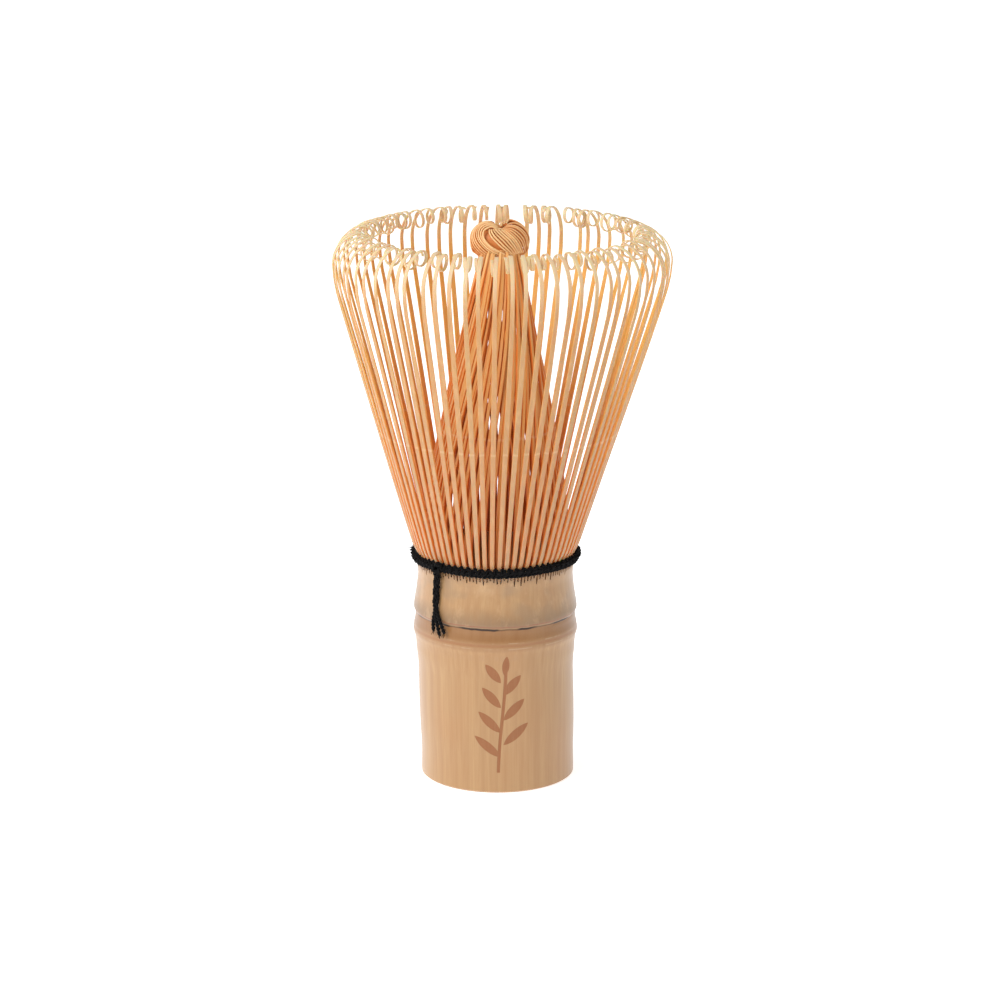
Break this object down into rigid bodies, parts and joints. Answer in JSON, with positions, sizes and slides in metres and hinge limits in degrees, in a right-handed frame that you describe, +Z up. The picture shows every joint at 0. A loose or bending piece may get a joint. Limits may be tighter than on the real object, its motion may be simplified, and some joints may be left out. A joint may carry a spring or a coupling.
{
  "type": "bamboo tea whisk",
  "caption": "Bamboo tea whisk with a hollow culm handle, a ring of springy curled outer tines round a knotted inner bundle, and a black thread binding.",
  "frame": {"origin": "centre of the handle's flat foot", "axes": "+Z up the culm to the tine tips; -Y is the front, and the thread's knot is at the front left"},
  "size_m": [0.0598, 0.0598, 0.1025],
  "materials": {
    "bamboo_culm": "bare dried bamboo bark, satin, with fine vertical fibres and brown mottling",
    "bamboo_tine": "shaved bamboo fibre, satin, paler at the thin tips",
    "black_thread": "matt twisted two-ply cotton thread"
  },
  "bodies": {
    "culm": {"handle": "bamboo_culm", "inner_tines_01": "bamboo_tine", "inner_tines_02": "bamboo_tine", "inner_tines_03": "bamboo_tine", "inner_tines_04": "bamboo_tine", "inner_tines_05": "bamboo_tine", "inner_tines_06": "bamboo_tine", "inner_tines_07": "bamboo_tine", "inner_tines_08": "bamboo_tine", "inner_tines_09": "bamboo_tine", "inner_tines_10": "bamboo_tine", "inner_tines_11": "bamboo_tine", "inner_tines_12": "bamboo_tine", "inner_tines_13": "bamboo_tine", "inner_tines_14": "bamboo_tine", "inner_tines_15": "bamboo_tine", "inner_tines_16": "bamboo_tine", "inner_tines_17": "bamboo_tine", "inner_tines_18": "bamboo_tine", "twist_knot": "bamboo_tine", "binding_thread": "black_thread", "thread_knot": "black_thread", "thread_tail_1": "black_thread", "thread_tail_2": "black_thread", "thread_tail_3": "black_thread"},
    "split_01": {"outer_tines_01": "bamboo_tine"},
    "split_02": {"outer_tines_02": "bamboo_tine"},
    "split_03": {"outer_tines_03": "bamboo_tine"},
    "split_04": {"outer_tines_04": "bamboo_tine"},
    "split_05": {"outer_tines_05": "bamboo_tine"},
    "split_06": {"outer_tines_06": "bamboo_tine"},
    "split_07": {"outer_tines_07": "bamboo_tine"},
    "split_08": {"outer_tines_08": "bamboo_tine"},
    "split_09": {"outer_tines_09": "bamboo_tine"},
    "split_10": {"outer_tines_10": "bamboo_tine"},
    "split_11": {"outer_tines_11": "bamboo_tine"},
    "split_12": {"outer_tines_12": "bamboo_tine"},
    "split_13": {"outer_tines_13": "bamboo_tine"},
    "split_14": {"outer_tines_14": "bamboo_tine"},
    "split_15": {"outer_tines_15": "bamboo_tine"},
    "split_16": {"outer_tines_16": "bamboo_tine"},
    "split_17": {"outer_tines_17": "bamboo_tine"},
    "split_18": {"outer_tines_18": "bamboo_tine"}
  },
  "joints": [
    {"name": "flex_01", "type": "hinge", "parent": "culm", "child": "split_01", "pos_m": [0.01384, 0.00244, 0.0414], "axis": [-0.1736, 0.9848, 0], "range_deg": [-2.5, 4], "stiffness_Nm_per_rad": 0.01},
    {"name": "flex_02", "type": "hinge", "parent": "culm", "child": "split_02", "pos_m": [0.01217, 0.00702, 0.0414], "axis": [-0.5, 0.866, 0], "range_deg": [-2.5, 4], "stiffness_Nm_per_rad": 0.01},
    {"name": "flex_03", "type": "hinge", "parent": "culm", "child": "split_03", "pos_m": [0.00903, 0.01076, 0.0414], "axis": [-0.766, 0.6428, 0], "range_deg": [-2.5, 4], "stiffness_Nm_per_rad": 0.01},
    {"name": "flex_04", "type": "hinge", "parent": "culm", "child": "split_04", "pos_m": [0.00481, 0.0132, 0.0414], "axis": [-0.9397, 0.342, 0], "range_deg": [-2.5, 4], "stiffness_Nm_per_rad": 0.01},
    {"name": "flex_05", "type": "hinge", "parent": "culm", "child": "split_05", "pos_m": [0, 0.01405, 0.0414], "axis": [-1, 0, 0], "range_deg": [-2.5, 4], "stiffness_Nm_per_rad": 0.01},
    {"name": "flex_06", "type": "hinge", "parent": "culm", "child": "split_06", "pos_m": [-0.00481, 0.0132, 0.0414], "axis": [-0.9397, -0.342, 0], "range_deg": [-2.5, 4], "stiffness_Nm_per_rad": 0.01},
    {"name": "flex_07", "type": "hinge", "parent": "culm", "child": "split_07", "pos_m": [-0.00903, 0.01076, 0.0414], "axis": [-0.766, -0.6428, 0], "range_deg": [-2.5, 4], "stiffness_Nm_per_rad": 0.01},
    {"name": "flex_08", "type": "hinge", "parent": "culm", "child": "split_08", "pos_m": [-0.01217, 0.00702, 0.0414], "axis": [-0.5, -0.866, 0], "range_deg": [-2.5, 4], "stiffness_Nm_per_rad": 0.01},
    {"name": "flex_09", "type": "hinge", "parent": "culm", "child": "split_09", "pos_m": [-0.01384, 0.00244, 0.0414], "axis": [-0.1736, -0.9848, 0], "range_deg": [-2.5, 4], "stiffness_Nm_per_rad": 0.01},
    {"name": "flex_10", "type": "hinge", "parent": "culm", "child": "split_10", "pos_m": [-0.01384, -0.00244, 0.0414], "axis": [0.1736, -0.9848, 0], "range_deg": [-2.5, 4], "stiffness_Nm_per_rad": 0.01},
    {"name": "flex_11", "type": "hinge", "parent": "culm", "child": "split_11", "pos_m": [-0.01217, -0.00702, 0.0414], "axis": [0.5, -0.866, 0], "range_deg": [-2.5, 4], "stiffness_Nm_per_rad": 0.01},
    {"name": "flex_12", "type": "hinge", "parent": "culm", "child": "split_12", "pos_m": [-0.00903, -0.01076, 0.0414], "axis": [0.766, -0.6428, 0], "range_deg": [-2.5, 4], "stiffness_Nm_per_rad": 0.01},
    {"name": "flex_13", "type": "hinge", "parent": "culm", "child": "split_13", "pos_m": [-0.00481, -0.0132, 0.0414], "axis": [0.9397, -0.342, 0], "range_deg": [-2.5, 4], "stiffness_Nm_per_rad": 0.01},
    {"name": "flex_14", "type": "hinge", "parent": "culm", "child": "split_14", "pos_m": [0, -0.01405, 0.0414], "axis": [1, 0, 0], "range_deg": [-2.5, 4], "stiffness_Nm_per_rad": 0.01},
    {"name": "flex_15", "type": "hinge", "parent": "culm", "child": "split_15", "pos_m": [0.00481, -0.0132, 0.0414], "axis": [0.9397, 0.342, 0], "range_deg": [-2.5, 4], "stiffness_Nm_per_rad": 0.01},
    {"name": "flex_16", "type": "hinge", "parent": "culm", "child": "split_16", "pos_m": [0.00903, -0.01076, 0.0414], "axis": [0.766, 0.6428, 0], "range_deg": [-2.5, 4], "stiffness_Nm_per_rad": 0.01},
    {"name": "flex_17", "type": "hinge", "parent": "culm", "child": "split_17", "pos_m": [0.01217, -0.00702, 0.0414], "axis": [0.5, 0.866, 0], "range_deg": [-2.5, 4], "stiffness_Nm_per_rad": 0.01},
    {"name": "flex_18", "type": "hinge", "parent": "culm", "child": "split_18", "pos_m": [0.01384, -0.00244, 0.0414], "axis": [0.1736, 0.9848, 0], "range_deg": [-2.5, 4], "stiffness_Nm_per_rad": 0.01}
  ]
}
